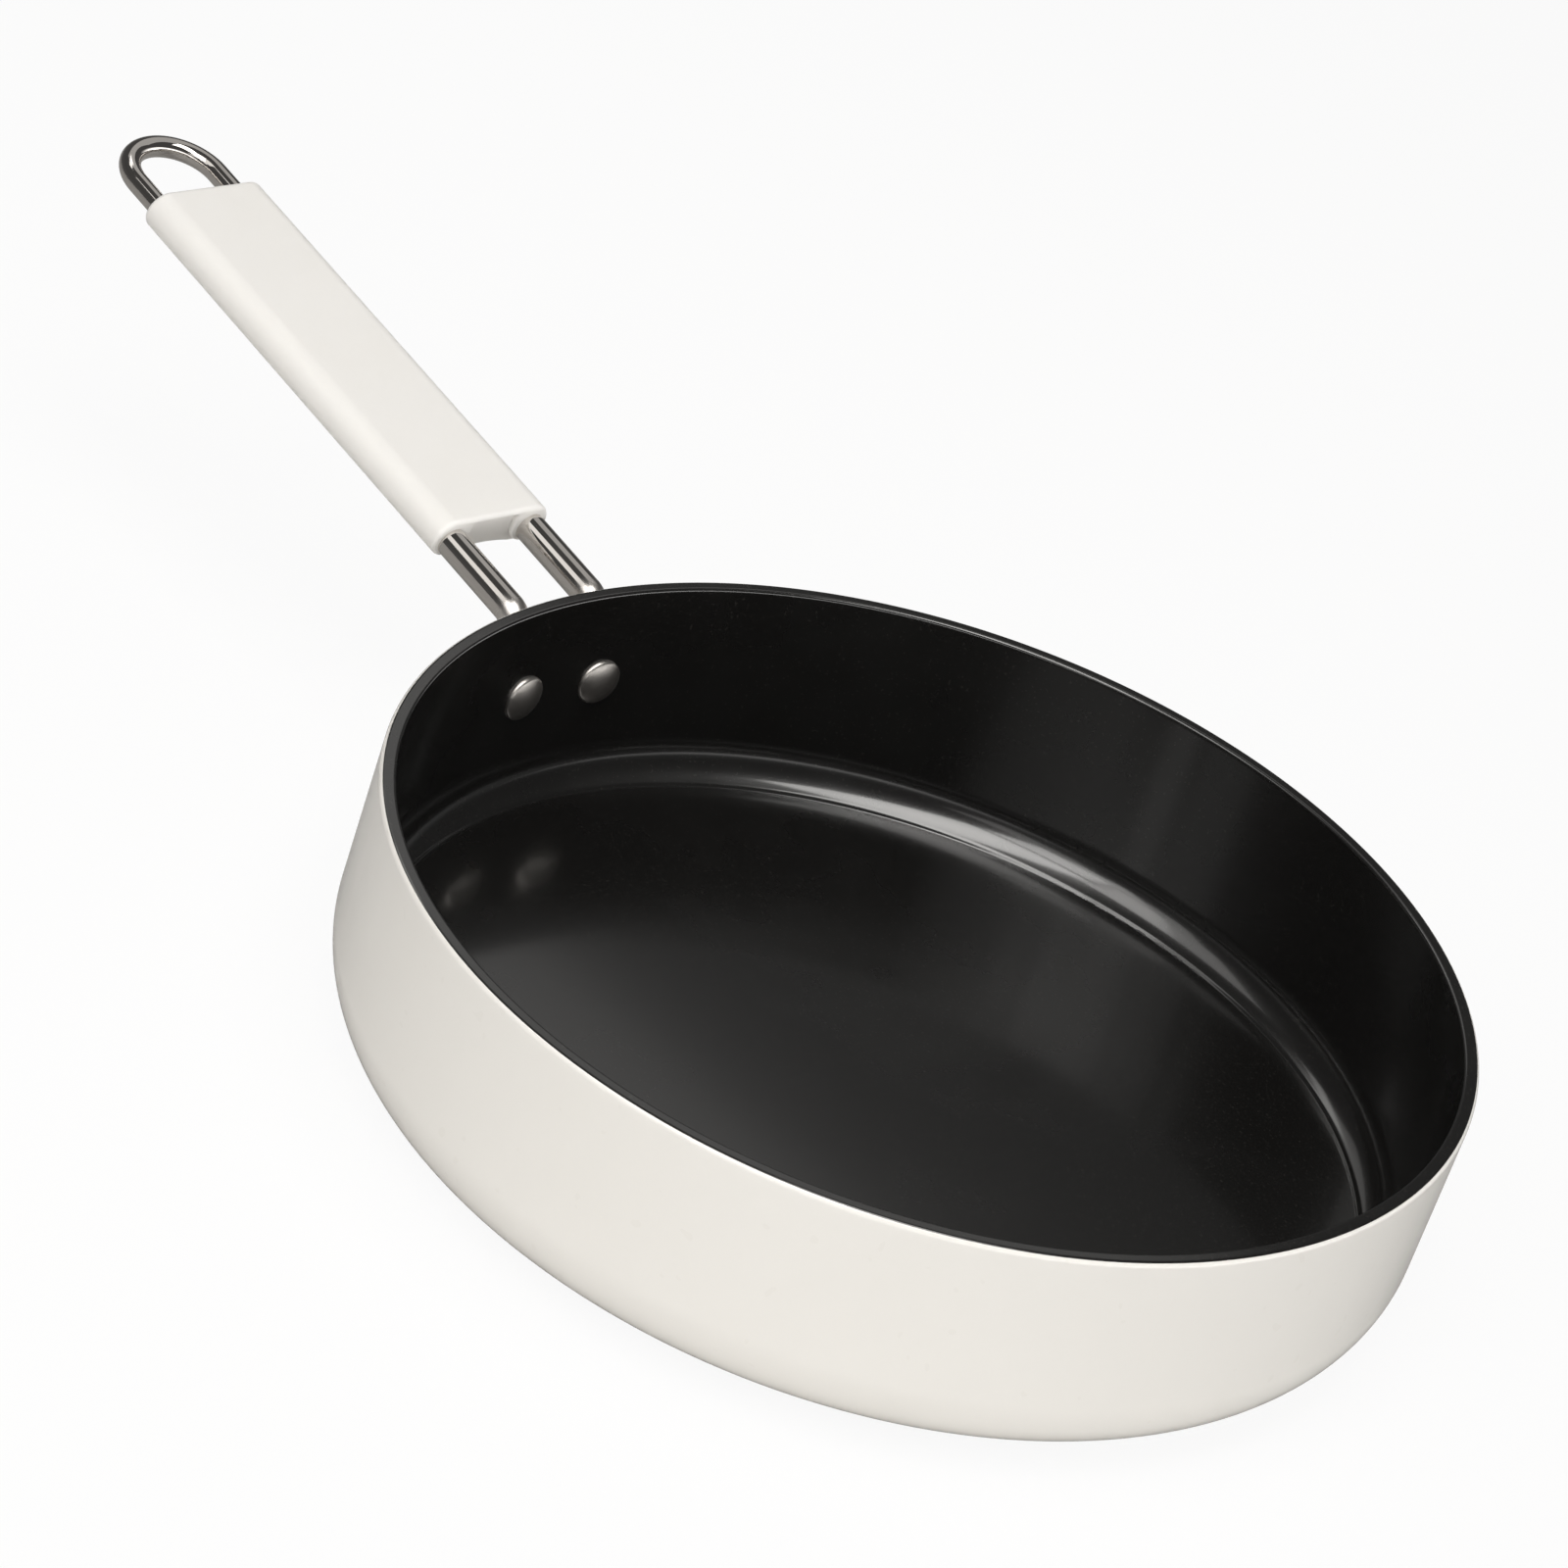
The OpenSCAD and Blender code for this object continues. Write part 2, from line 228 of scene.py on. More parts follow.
class Shader:
    """A node tree with short calls to add and join nodes."""

    def __init__(self, tree: NodeTree) -> None:
        """Keeps the tree and empties it."""
        self.tree = tree
        tree.nodes.clear()

    def feed(self, node: Node, inputs: dict) -> None:
        """Gives sockets of a node, by name or index, a value or a link from an output."""
        for key, value in inputs.items():
            if isinstance(value, Socket):
                self.tree.links.new(value, node.inputs[key])
            else:
                node.inputs[key].default_value = value

    def add(self, kind: str, inputs: dict | None = None, **settings) -> Node:
        """Adds a node.

        Args:
            kind: Node type without the ShaderNode prefix.
            inputs: Socket name or index to a value, or to an output socket to link.
            settings: Properties of the node.

        Returns:
            The new node.
        """
        node = self.tree.nodes.new("ShaderNode" + kind)
        for key, value in settings.items():
            setattr(node, key, value)
        self.feed(node, inputs or {})
        return node

    def place(self) -> Socket:
        """The object's own coordinates."""
        return self.add("TexCoord").outputs["Object"]

    def math(self, operation: str, *values: float | Socket, clamp: bool = False) -> Socket:
        """Output of a Math node on values or sockets."""
        node = self.add("Math", dict(enumerate(values)), operation=operation, use_clamp=clamp)
        return node.outputs[0]

    def vector(self, operation: str, *values: Triple | Socket) -> Socket:
        """Number that a Vector Math node gives on vectors or sockets."""
        node = self.add("VectorMath", dict(enumerate(values)), operation=operation)
        return node.outputs["Value"]

    def noise(self, vector: Socket, scale: float | Socket, detail: float = 2.0) -> Socket:
        """Value output of a 3-D noise."""
        inputs = {"Vector": vector, "Scale": scale, "Detail": detail}
        return self.add("TexNoise", inputs).outputs["Fac"]

    def ranged(self, value: Socket, span: Pair, to: Pair) -> Socket:
        """A value mapped from one span to another, held inside it."""
        ends = {"From Min": span[0], "From Max": span[1], "To Min": to[0], "To Max": to[1]}
        return self.add("MapRange", {"Value": value, **ends}).outputs[0]

    def mixed(self, share: Socket, first: Triple | Socket, second: Triple) -> Socket:
        """Colour between two colours."""
        start = first if isinstance(first, Socket) else colour(first)
        inputs = {0: share, 6: start, 7: colour(second)}
        return self.add("Mix", inputs, data_type="RGBA").outputs[2]

    def blended(self, share: Socket, first: Node, second: Node | None = None) -> Node:
        """Shader between two shaders, or between one and black."""
        inputs = {0: share, 1: first.outputs[0]}
        if second is not None:
            inputs[2] = second.outputs[0]
        return self.add("MixShader", inputs)

    def bump(self, height: Socket, distance: float) -> Socket:
        """Normal from a height, with its full travel in metres."""
        return self.add("Bump", {"Height": height, "Distance": distance}).outputs[0]

    def group(self, name: str, vector: Socket, **inputs: float) -> Socket:
        """Output of a node group on a vector and numbers."""
        tree = bpy.data.node_groups[name]
        return self.add("Group", {"Vector": vector, **inputs}, node_tree=tree).outputs[0]


def group_tree(name: str, inputs: dict[str, float], output: str) -> tuple[Shader, list, Socket]:
    """Starts a node group that takes coordinates and numbers and gives one value.

    Args:
        name: Name of the group.
        inputs: Number sockets with their defaults.
        output: Name of the value it gives.

    Returns:
        The shader helper, the coordinates and numbers, and the output socket to link to.
    """
    tree = bpy.data.node_groups.new(name, "ShaderNodeTree")
    new_socket = tree.interface.new_socket
    new_socket("Vector", in_out="INPUT", socket_type="NodeSocketVector")
    for key, value in inputs.items():
        new_socket(key, in_out="INPUT", socket_type="NodeSocketFloat").default_value = value
    new_socket(output, in_out="OUTPUT", socket_type="NodeSocketFloat")
    shader = Shader(tree)
    source = tree.nodes.new("NodeGroupInput")
    sink = tree.nodes.new("NodeGroupOutput")
    return shader, [source.outputs[key] for key in ("Vector", *inputs)], sink.inputs[0]


def smudge_group() -> None:
    """Soft patches left by hands and cloths: two noises multiplied, with a clear threshold."""
    finer, lift, highest, reach, contrast = 4.7, 0.5, 0.75, 0.5, 3.0
    numbers = {"Scale": 30.0, "Cover": 0.5}
    shader, (place, scale, cover), sink = group_tree("smudges", numbers, "Mask")
    broad = shader.noise(place, scale, detail=3.0)
    fine = shader.noise(place, shader.math("MULTIPLY", scale, finer), detail=6.0)
    product = shader.math("MULTIPLY", broad, shader.math("ADD", fine, lift))
    edge = shader.math("SUBTRACT", highest, shader.math("MULTIPLY", cover, reach))
    mask = shader.math("MULTIPLY", shader.math("SUBTRACT", product, edge), contrast, clamp=True)
    shader.tree.links.new(mask, sink)


def grain_group() -> None:
    """Fine moulded or sprayed grain: cells of two sizes added."""
    finer, fine_share, whole = 2.6, 0.5, 0.667
    shader, (place, scale), sink = group_tree("grain", {"Scale": 900.0}, "Height")
    coarse = shader.noise(place, scale, detail=1.0)
    fine = shader.noise(place, shader.math("MULTIPLY", scale, finer), detail=1.0)
    total = shader.math("ADD", coarse, shader.math("MULTIPLY", fine, fine_share))
    shader.tree.links.new(shader.math("MULTIPLY", total, whole), sink)


def turning_group() -> None:
    """Rings left by a lathe tool: a wave of the distance from Z, slightly uneven in depth."""
    wave_share, unevenness = 0.25, 0.37
    shader, (place, pitch), sink = group_tree("turning", {"Pitch": 0.4 * MM}, "Height")
    parts = shader.add("SeparateXYZ", {0: place})
    squared = [shader.math("POWER", parts.outputs[k], 2.0) for k in (0, 1)]
    radius = shader.math("SQRT", shader.math("ADD", *squared))
    turns = shader.math("DIVIDE", radius, pitch)
    wave = shader.math("SINE", shader.math("MULTIPLY", turns, 2 * math.pi))
    across = shader.add("CombineXYZ", {0: turns}).outputs[0]
    uneven = shader.noise(across, unevenness, detail=4.0)
    total = shader.math("ADD", shader.math("MULTIPLY", wave, wave_share), uneven)
    shader.tree.links.new(total, sink)


# --- finishes


@dataclass(frozen=True)
class Finish:
    """What every finish has: a slot, a base colour and its uneven tone and gloss.

    The tone goes part of the way to the shade as a pattern runs through its span. The roughness
    goes from its first value to its second in the dull patches, which have a scale and a cover.
    """

    slot: Slot
    base: Triple
    roughness: Pair
    shade: Triple
    shade_span: Pair
    shade_share: float
    patches: Pair = (18.0, 0.7)

    def toned(self, shader: Shader, pattern: Socket) -> Socket:
        """Base colour, nearer to the shade where the pattern is high."""
        share = shader.ranged(pattern, self.shade_span, (0.0, self.shade_share))
        return shader.mixed(share, self.base, self.shade)

    def patch(self, shader: Shader, vector: Socket) -> Socket:
        """Mask of the dull patches."""
        scale, cover = self.patches
        return shader.group("smudges", vector, Scale=scale, Cover=cover)

    def rough(self, shader: Shader, vector: Socket) -> Socket:
        """Roughness with its dull patches."""
        return shader.ranged(self.patch(shader, vector), FULL, self.roughness)

    def inputs(self, shader: Shader) -> dict:
        """Inputs of the Principled node. Each finish has its own."""
        raise NotImplementedError

    def build(self) -> Material:
        """Makes the material."""
        material = bpy.data.materials.new(self.slot.value)
        material.use_nodes = True
        shader = Shader(material.node_tree)
        surface = shader.add("BsdfPrincipled")
        shader.add("OutputMaterial", {"Surface": surface.outputs[0]})
        shader.feed(surface, self.inputs(shader))
        return material


@dataclass(frozen=True)
class EnamelFinish(Finish):
    """Fired white enamel: warm white, glossy, with a faint orange peel and pinholes."""

    roughness: Pair = (0.17, 0.25)
    shade: Triple = (0.80, 0.775, 0.73)
    shade_span: Pair = (0.35, 0.75)
    shade_share: float = 0.22
    patches: Pair = (14.0, 0.45)
    clouds: float = 9.0
    pits: float = 260.0
    pit_level: float = 0.205
    pit_share: float = 0.25
    peel: float = 210.0
    peel_depth: float = 0.012 * MM

    def inputs(self, shader: Shader) -> dict:
        """Inputs of the Principled node."""
        place = shader.place()
        tone = self.toned(shader, shader.noise(place, self.clouds))
        cells = shader.noise(place, self.pits, detail=0.0)
        pits = shader.math("LESS_THAN", cells, self.pit_level)
        pits = shader.math("MULTIPLY", pits, self.pit_share)
        return {
            "Base Color": shader.mixed(pits, tone, self.shade),
            "Roughness": self.rough(shader, place),
            "IOR": 1.52,
            "Coat Weight": 0.35,
            "Coat Roughness": 0.06,
            "Normal": shader.bump(shader.noise(place, self.peel), self.peel_depth),
        }


@dataclass(frozen=True)
class LiningFinish(Finish):
    """Black non-stick lining: sprayed and cured, glossy, with fine mineral speckle."""

    roughness: Pair = (0.24, 0.34)
    shade: Triple = (0.05, 0.047, 0.043)
    shade_span: Pair = (0.72, 0.8)
    shade_share: float = 0.4
    patches: Pair = (11.0, 0.6)
    speckle: float = 1500.0
    spray: float = 320.0
    spray_depth: float = 0.008 * MM

    def inputs(self, shader: Shader) -> dict:
        """Inputs of the Principled node."""
        place = shader.place()
        spray = shader.group("grain", place, Scale=self.spray)
        return {
            "Base Color": self.toned(shader, shader.noise(place, self.speckle, detail=0.0)),
            "Roughness": self.rough(shader, place),
            "IOR": 1.52,
            "Coat Weight": 1.0,
            "Coat Roughness": 0.115,
            "Coat IOR": 1.56,
            "Normal": shader.bump(spray, self.spray_depth),
        }


@dataclass(frozen=True)
class PolishedFinish(Finish):
    """Polished stainless bar: drawing lines along it, dull patches, and a duller bend.

    Its pattern follows the piece's own run coordinates, whose Z is the way along the bar.
    """

    roughness: Pair = (0.05, 0.11)
    shade: Triple = (0.5412, 0.5166, 0.492)
    shade_span: Pair = (0.35, 0.65)
    shade_share: float = 0.25
    patches: Pair = (60.0, 0.5)
    stretch: Triple = (1.0, 1.0, 0.02)
    lines: float = 2600.0
    line_span: Pair = (0.3, 0.7)
    line_rough: float = 0.025
    hairline_depth: float = 0.002 * MM
    bent_from: Pair = (148 * MM, 153 * MM)
    bent_rough: float = 0.28

    def inputs(self, shader: Shader) -> dict:
        """Inputs of the Principled node."""
        run = shader.add("Attribute", attribute_name="run").outputs["Vector"]
        stretched = shader.add("Mapping", {"Vector": run, "Scale": self.stretch}).outputs[0]
        drawn = shader.noise(stretched, self.lines, detail=3.0)
        along = shader.add("SeparateXYZ", {0: run}).outputs["Z"]
        bent = shader.ranged(along, self.bent_from, (0.0, self.bent_rough))
        scored = shader.ranged(drawn, self.line_span, (0.0, self.line_rough))
        rough = shader.math("ADD", self.rough(shader, run), scored)
        return {
            "Base Color": self.toned(shader, drawn),
            "Metallic": 1.0,
            "Roughness": shader.math("ADD", rough, bent),
            "Normal": shader.bump(drawn, self.hairline_depth),
        }


@dataclass(frozen=True)
class SatinFinish(Finish):
    """Satin steel of rivets and pins: tumbled, with small dents that catch the light."""

    roughness: Pair = (0.28, 0.42)
    shade: Triple = (0.406, 0.385, 0.364)
    shade_span: Pair = (0.35, 0.7)
    shade_share: float = 0.5
    clouds: float = 240.0
    cloud_part: float = 0.6
    grain: float = 1400.0
    grain_span: Pair = (0.3, 0.7)
    dent_depth: float = 0.02 * MM

    def inputs(self, shader: Shader) -> dict:
        """Inputs of the Principled node."""
        place = shader.place()
        grain = shader.group("grain", place, Scale=self.grain)
        cloud = shader.noise(place, self.clouds, detail=3.0)
        broad = shader.math("MULTIPLY", cloud, self.cloud_part)
        fine = shader.math("MULTIPLY", grain, 1 - self.cloud_part)
        return {
            "Base Color": self.toned(shader, cloud),
            "Metallic": 1.0,
            "Roughness": shader.ranged(grain, self.grain_span, self.roughness),
            "Normal": shader.bump(shader.math("ADD", broad, fine), self.dent_depth),
        }


@dataclass(frozen=True)
class GripFinish(Finish):
    """White moulded plastic: spark-eroded mould grain, matt, a little shine where hands rub."""

    roughness: Pair = (0.5, 0.4)
    shade: Triple = (0.82, 0.80, 0.76)
    shade_span: Pair = (0.4, 0.75)
    shade_share: float = 0.3
    patches: Pair = (26.0, 0.5)
    clouds: float = 30.0
    grain: float = 1700.0
    grain_depth: float = 0.014 * MM

    def inputs(self, shader: Shader) -> dict:
        """Inputs of the Principled node."""
        place = shader.place()
        grain = shader.group("grain", place, Scale=self.grain)
        return {
            "Base Color": self.toned(shader, shader.noise(place, self.clouds, detail=3.0)),
            "Roughness": self.rough(shader, place),
            "IOR": 1.49,
            "Subsurface Weight": 0.45,
            "Subsurface Radius": (3.0, 3.0, 3.0),
            "Subsurface Scale": MM,
            "Normal": shader.bump(grain, self.grain_depth),
        }


@dataclass(frozen=True)
class CastingFinish(Finish):
    """Cast aluminium, turned base: lathe rings with painted shade in their hollows, dull patches,
    hob scuffs.
    """

    roughness: Pair = (0.28, 0.45)
    shade: Triple = (0.42, 0.42, 0.43)
    shade_span: Pair = (0.2, 0.8)
    shade_share: float = 0.25
    patch_share: float = 0.35
    ring_depth: float = 0.03 * MM
    ring_pitch: float = 0.7 * MM

    def inputs(self, shader: Shader) -> dict:
        """Inputs of the Principled node. The shade colour lies in the scuffed patches, and as
        painted shade in the hollows of the lathe rings.
        """
        place = shader.place()
        rings = shader.group("turning", place, Pitch=self.ring_pitch)
        patch = self.patch(shader, place)
        scuffed = shader.math("MULTIPLY", patch, self.patch_share)
        tone = shader.mixed(scuffed, self.base, self.shade)
        # Painted shade: the colour goes towards the shade colour in the low parts of the lathe
        # rings, where shade would fall.
        hollow = shader.ranged(rings, self.shade_span, (self.shade_share, 0.0))
        return {
            "Base Color": shader.mixed(hollow, tone, self.shade),
            "Metallic": 1.0,
            "Roughness": shader.ranged(patch, FULL, self.roughness),
            "Normal": shader.bump(rings, self.ring_depth),
        }


FINISHES = (
    EnamelFinish(Slot.ENAMEL, (0.88, 0.86, 0.825)),
    LiningFinish(Slot.LINING, (0.0045, 0.0042, 0.0038)),
    PolishedFinish(Slot.POLISHED, (0.66, 0.63, 0.60)),
    SatinFinish(Slot.SATIN, (0.58, 0.55, 0.52)),
    GripFinish(Slot.GRIP, (0.86, 0.845, 0.82)),
    CastingFinish(Slot.CASTING, (0.74, 0.74, 0.75)),
)


def cover(thing: Object, material: Material) -> None:
    """Makes a material an object's only one, and reports the object."""
    thing.data.materials.clear()
    thing.data.materials.append(material)
    LOG.info("%s: %s, %d faces", thing.name, material.name, len(thing.data.polygons))


def dress(piece: Object, materials: Materials, slot: Slot, *nodes: str) -> None:
    """Puts a piece on the one body with the material of its slot, and hides the nodes it stands
    for.
    """
    cover(piece, materials[slot])
    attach(piece, "root")
    if nodes:
        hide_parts(*nodes)


# --- the pan


@dataclass
class Pan:
    """Cast body with its enamel outside and its lining inside.

    The two coats meet on the rim's outside rounding, at a fine seam that each of them enters
    from its own side.
    """

    radius: float = 141 * MM
    height: float = 65 * MM
    wall: float = 3.2 * MM
    coat: float = 0.5 * MM
    corner: float = 21 * MM
    base_rise: float = 0.6 * MM
    base_inset: float = 3 * MM
    rim: float = 1.4 * MM
    inner_rim: float = 0.9 * MM
    floor: float = 7.5 * MM
    floor_inset: float = 7.3 * MM
    fillet: float = 12 * MM
    fillet_split: float = 45.0
    groove: float = 0.6 * MM
    groove_width: float = 0.55 * MM
    groove_lead: float = 3 * MM
    crease: float = 0.12 * MM
    lap: float = 0.7 * MM
    seam_depth: float = 0.1 * MM
    seam_start: float = 2.0
    seam_foot: float = 0.5
    under_turn: float = -60.0
    under_step: float = 2 * MM
    edge_break: float = 0.15 * MM
    ring_points: int = 360
    floor_points: int = 30
    groove_points: int = 150

    @property
    def inner(self) -> float:
        """Inside radius of the lined wall."""
        return self.radius - self.wall - 2 * self.coat

    @property
    def land(self) -> float:
        """Radius of the outer edge of the level land."""
        return self.radius - self.rim

    @property
    def lap_angle(self) -> float:
        """Angle above level, on the rim's rounding, at which lining ends and enamel starts."""
        return math.degrees(math.acos(self.lap / self.rim))

    @property
    def edge(self) -> float:
        """Radius of the groove round the floor, where floor and fillet meet."""
        return self.inner - self.floor_inset

    @property
    def middle(self) -> Pair:
        """Middle (r, z) of the fillet's circle, which meets the floor at its edge."""
        radius = self.inner - self.fillet
        return radius, self.floor + math.sqrt(self.fillet**2 - (self.edge - radius) ** 2)

    def floor_line(self) -> Array:
        """Floor, groove and lower half of the fillet as heights over the radius.

        The height is a soft maximum of the floor and the fillet's circle, less a bell-shaped
        groove at their meeting.

        Returns:
            Points (r, z) from the middle of the floor to half way up the fillet.
        """
        middle, bottom = self.middle
        lead = self.edge - self.groove_lead
        out = middle + self.fillet * math.sin(math.radians(self.fillet_split))
        level, grooved = eased(0, lead, self.floor_points), eased(lead, out, self.groove_points)
        radius = np.concatenate((level, grooved[1:]))
        circle = bottom - np.sqrt(self.fillet**2 - np.clip(radius - middle, 0, None) ** 2)
        height = self.floor + self.crease * np.logaddexp(0, (circle - self.floor) / self.crease)
        height -= self.groove * np.exp(-(((radius - self.edge) / self.groove_width) ** 2))
        return points_of(radius, height)

    def rim_arc(self, depth: float, start: float, end: float, count: int) -> Array:
        """Points on the rim's outside rounding or a depth inside it, from angle to angle."""
        return arc((self.land, self.height - self.rim), self.rim - depth, start, end, count)

    def lining_profile(self) -> Array:
        """Closed half section of the lining, from the middle of its top to that of its back."""
        middle, inner, small, edge = self.middle, self.inner, self.inner_rim, self.edge
        top, meet, outer = self.height, self.lap_angle, inner + self.coat
        back = top - self.coat
        under = self.floor - self.coat
        return joined(
            self.floor_line(),
            arc(middle, self.fillet, -self.fillet_split, 0, 24),
            line((inner, middle[1]), (inner, top - small), 14),
            arc((inner + small, top - small), small, 180, 90, 9),
            line((inner + small, top), (self.land, top), 8),
            self.rim_arc(0, 90, meet + self.seam_start, 10),
            self.rim_arc(self.seam_depth, meet + self.seam_foot, meet, 2),
            self.rim_arc(self.coat, meet, 90, 6),
            line((self.land, back), (outer, back), 4),
            line((outer, back), (outer, middle[1]), 4),
            arc(middle, self.fillet + self.coat, 0, self.under_turn, 12),
            line((edge, under - self.groove), (edge - self.under_step, under), 3),
            line((edge - self.under_step, under), (0, under), 4),
        )

    def enamel_profile(self) -> Array:
        """Closed loop round the enamel's section, outside first."""
        low, inside, small, meet = self.base_rise, self.coat, self.edge_break, self.lap_angle
        middle = self.radius - self.corner
        base = middle - self.base_inset
        shoulder = self.height - self.rim
        bend = low + self.corner
        return joined(
            arc((base + small, low + small), small, 180, 270, 4),
            line((base + small, low), (middle, low), 6),
            arc((middle, bend), self.corner, -90, 0, 60),
            line((self.radius, bend), (self.radius, shoulder), 18),
            self.rim_arc(0, 0, meet - self.seam_start, 12),
            self.rim_arc(self.seam_depth, meet - self.seam_foot, meet, 2),
            self.rim_arc(inside, meet, 0, 6),
            line((self.radius - inside, shoulder), (self.radius - inside, bend), 3),
            arc((middle, bend), self.corner - inside, 0, -90, 12),
            line((middle, low + inside), (base, low + inside), 3),
            line((base, low + inside), (base, low + 2 * small), 3),
        )

    def build(self, materials: Materials, nodes: dict[str, Object]) -> None:
        """Makes the two coats, and gives the casting its material."""
        rings = revolved(self.lining_profile(), self.ring_points)
        dress(closed_mesh("lining", rings, Ends.POLES), materials, Slot.LINING, "nonstick_lining")
        rings = revolved(self.enamel_profile(), self.ring_points)
        dress(closed_mesh("enamel", rings, Ends.JOINED), materials, Slot.ENAMEL, "enamel_coat")
        cover(nodes["pan_body"], materials[Slot.CASTING])


# --- the handle


@dataclass
class HandleFrame:
    """Where the handle's line leaves the wall, and how it rises."""

    reach: float = 141 * MM
    height: float = 55.6 * MM
    rise: float = 8.8

    def place(self, points: Array) -> Array:
        """Points (along, across, above) of the handle's line, moved to the part's frame."""
        return turned(points, "Y", -self.rise) + np.array((self.reach, 0, self.height))


@dataclass
class Leg:
    """One tube: straight, bent down at the wall and pressed to a tang under its rivet."""

    side: Side
    frame: HandleFrame
    across: float = 13.7 * MM
    radius: float = 4.2 * MM
    end: float = 160.3 * MM
    bend: float = 5 * MM
    stand_off: float = 0.5 * MM
    tang_half_width: float = 6.25 * MM
    tang_half_thickness: float = 1 * MM
    tang_gap: float = 0.05 * MM
    tang_top: float = 42.8 * MM
    press_margin: float = 0.4 * MM
    rivet_height: float = 37.6 * MM
    squareness: float = 7.0
    ring_points: int = 72
    straight_points: int = 30
    bend_points: int = 36
    press_points: int = 30
    tang_points: int = 8
    tip_points: int = 22

    def bend_centre(self) -> Pair:
        """Place (x, z) of the middle of the bend."""
        x = self.frame.reach + self.stand_off + self.radius + self.bend
        rise = math.radians(self.frame.rise)
        z = self.frame.height + (x - self.frame.reach) * math.tan(rise) - self.bend / math.cos(rise)
        return x, z

    def straight(self) -> tuple[Array, Array]:
        """Centres and up-directions of the stations on the straight part."""
        x, z = self.bend_centre()
        sine, cosine = (f(math.radians(self.frame.rise)) for f in (math.sin, math.cos))
        first = (x - self.frame.reach) * cosine + (z - self.frame.height) * sine
        along = eased(self.end, first, self.straight_points)
        centre = self.frame.place(points_of(along, self.side.value * self.across, 0))
        return centre, np.tile((-sine, 0, cosine), (len(along), 1))

    def stations(self) -> dict[str, Array]:
        """Everything that the surface needs at each station from the grip down to the tang's tip.

        On the straight part and the bend the centre follows the line and a circle. Below it the
        centre slides from the tube's own upright to the middle of the tang, while the section
        goes from round to flat. The tang's half width ends in a half circle about the rivet.

        Returns:
            Arrays by name, each with one row for each station.
        """
        sign, wide = self.side.value, self.tang_half_width
        centre_x, centre_z = self.bend_centre()
        straight, up = self.straight()
        turn = np.radians(np.linspace(90 + self.frame.rise, 180, self.bend_points))[1:]
        bend_up = points_of(np.cos(turn), 0, np.sin(turn))
        bend = np.array((centre_x, sign * self.across, centre_z)) + self.bend * bend_up
        tip = np.linspace(0, np.pi / 2, self.tip_points)[1:]
        height = np.concatenate((
            eased(centre_z, self.tang_top, self.press_points)[1:],
            eased(self.tang_top, self.rivet_height, self.tang_points)[1:],
            self.rivet_height - wide * np.sin(tip),
        ))
        start, stop = self.tang_top - self.press_margin, centre_z + self.press_margin
        flat = 1 - smooth_step(height, start, stop)
        wall = self.frame.reach + self.tang_gap + self.tang_half_thickness
        angle = math.asin(self.across / self.frame.reach)
        tube = np.array((centre_x - self.bend, sign * self.across))
        tang = wall * np.array((math.cos(angle), sign * math.sin(angle)))
        upright = np.column_stack((tube + flat[:, None] * (tang - tube), height))
        below = np.clip(self.rivet_height - height, 0, wide)
        rounded = np.sqrt(np.clip(wide**2 - below**2, 0, None)) / wide
        out = points_of(-np.cos(flat * angle), -sign * np.sin(flat * angle), 0)
        round_part = np.full(len(straight) + len(bend), self.radius)
        half_width = (self.radius + flat * (wide - self.radius)) * rounded
        half_thickness = self.radius + flat * (self.tang_half_thickness - self.radius)
        centre = np.concatenate((straight, bend, upright))
        return {
            "centre": centre,
            "up": np.concatenate((up, bend_up, out)),
            "half_width": np.concatenate((round_part, half_width)),
            "half_thickness": np.concatenate((round_part, half_thickness)),
            "flat": np.concatenate((0 * round_part, flat)),
            "along": travelled(centre),
        }

    def surface(self) -> tuple[Array, Array]:
        """Rings of the tube and their unbent coordinates.

        A section is the superellipse |v / a|^n + |w / b|^n = 1, where n goes from 2 on the tube
        to the squareness on the tang, and w sinks by v^2 / 2R as the tang follows the wall.

        Returns:
            Rings, shape (rows, columns, 3), and the coordinates (v, w, along), same shape.
        """
        at = self.stations()
        flat, up = at["flat"][:, None], at["up"]
        angle = full_turn(self.ring_points)
        cosine, sine = np.cos(angle), np.sin(angle)
        power = 2 / (2 + flat * (self.squareness - 2))
        across = at["half_width"][:, None] * np.sign(cosine) * np.abs(cosine) ** power
        above = at["half_thickness"][:, None] * np.sign(sine) * np.abs(sine) ** power
        curved = above + flat * across**2 / (2 * self.frame.reach)
        level = points_of(-up[:, 1], up[:, 0], 0)
        level[at["flat"] == 0] = (0, -1, 0)
        rings = across[..., None] * level[:, None] + curved[..., None] * up[:, None]
        rings += at["centre"][:, None]
        return rings, points_of(across, above, at["along"][:, None])

    def build(self, materials: Materials) -> None:
        """Makes the leg and dresses it."""
        name = f"leg_{self.side.name.lower()}"
        rings, run = self.surface()
        leg = closed_mesh(f"tube_{name}", rings, Ends.CAPS, run)
        dress(leg, materials, Slot.POLISHED, name)


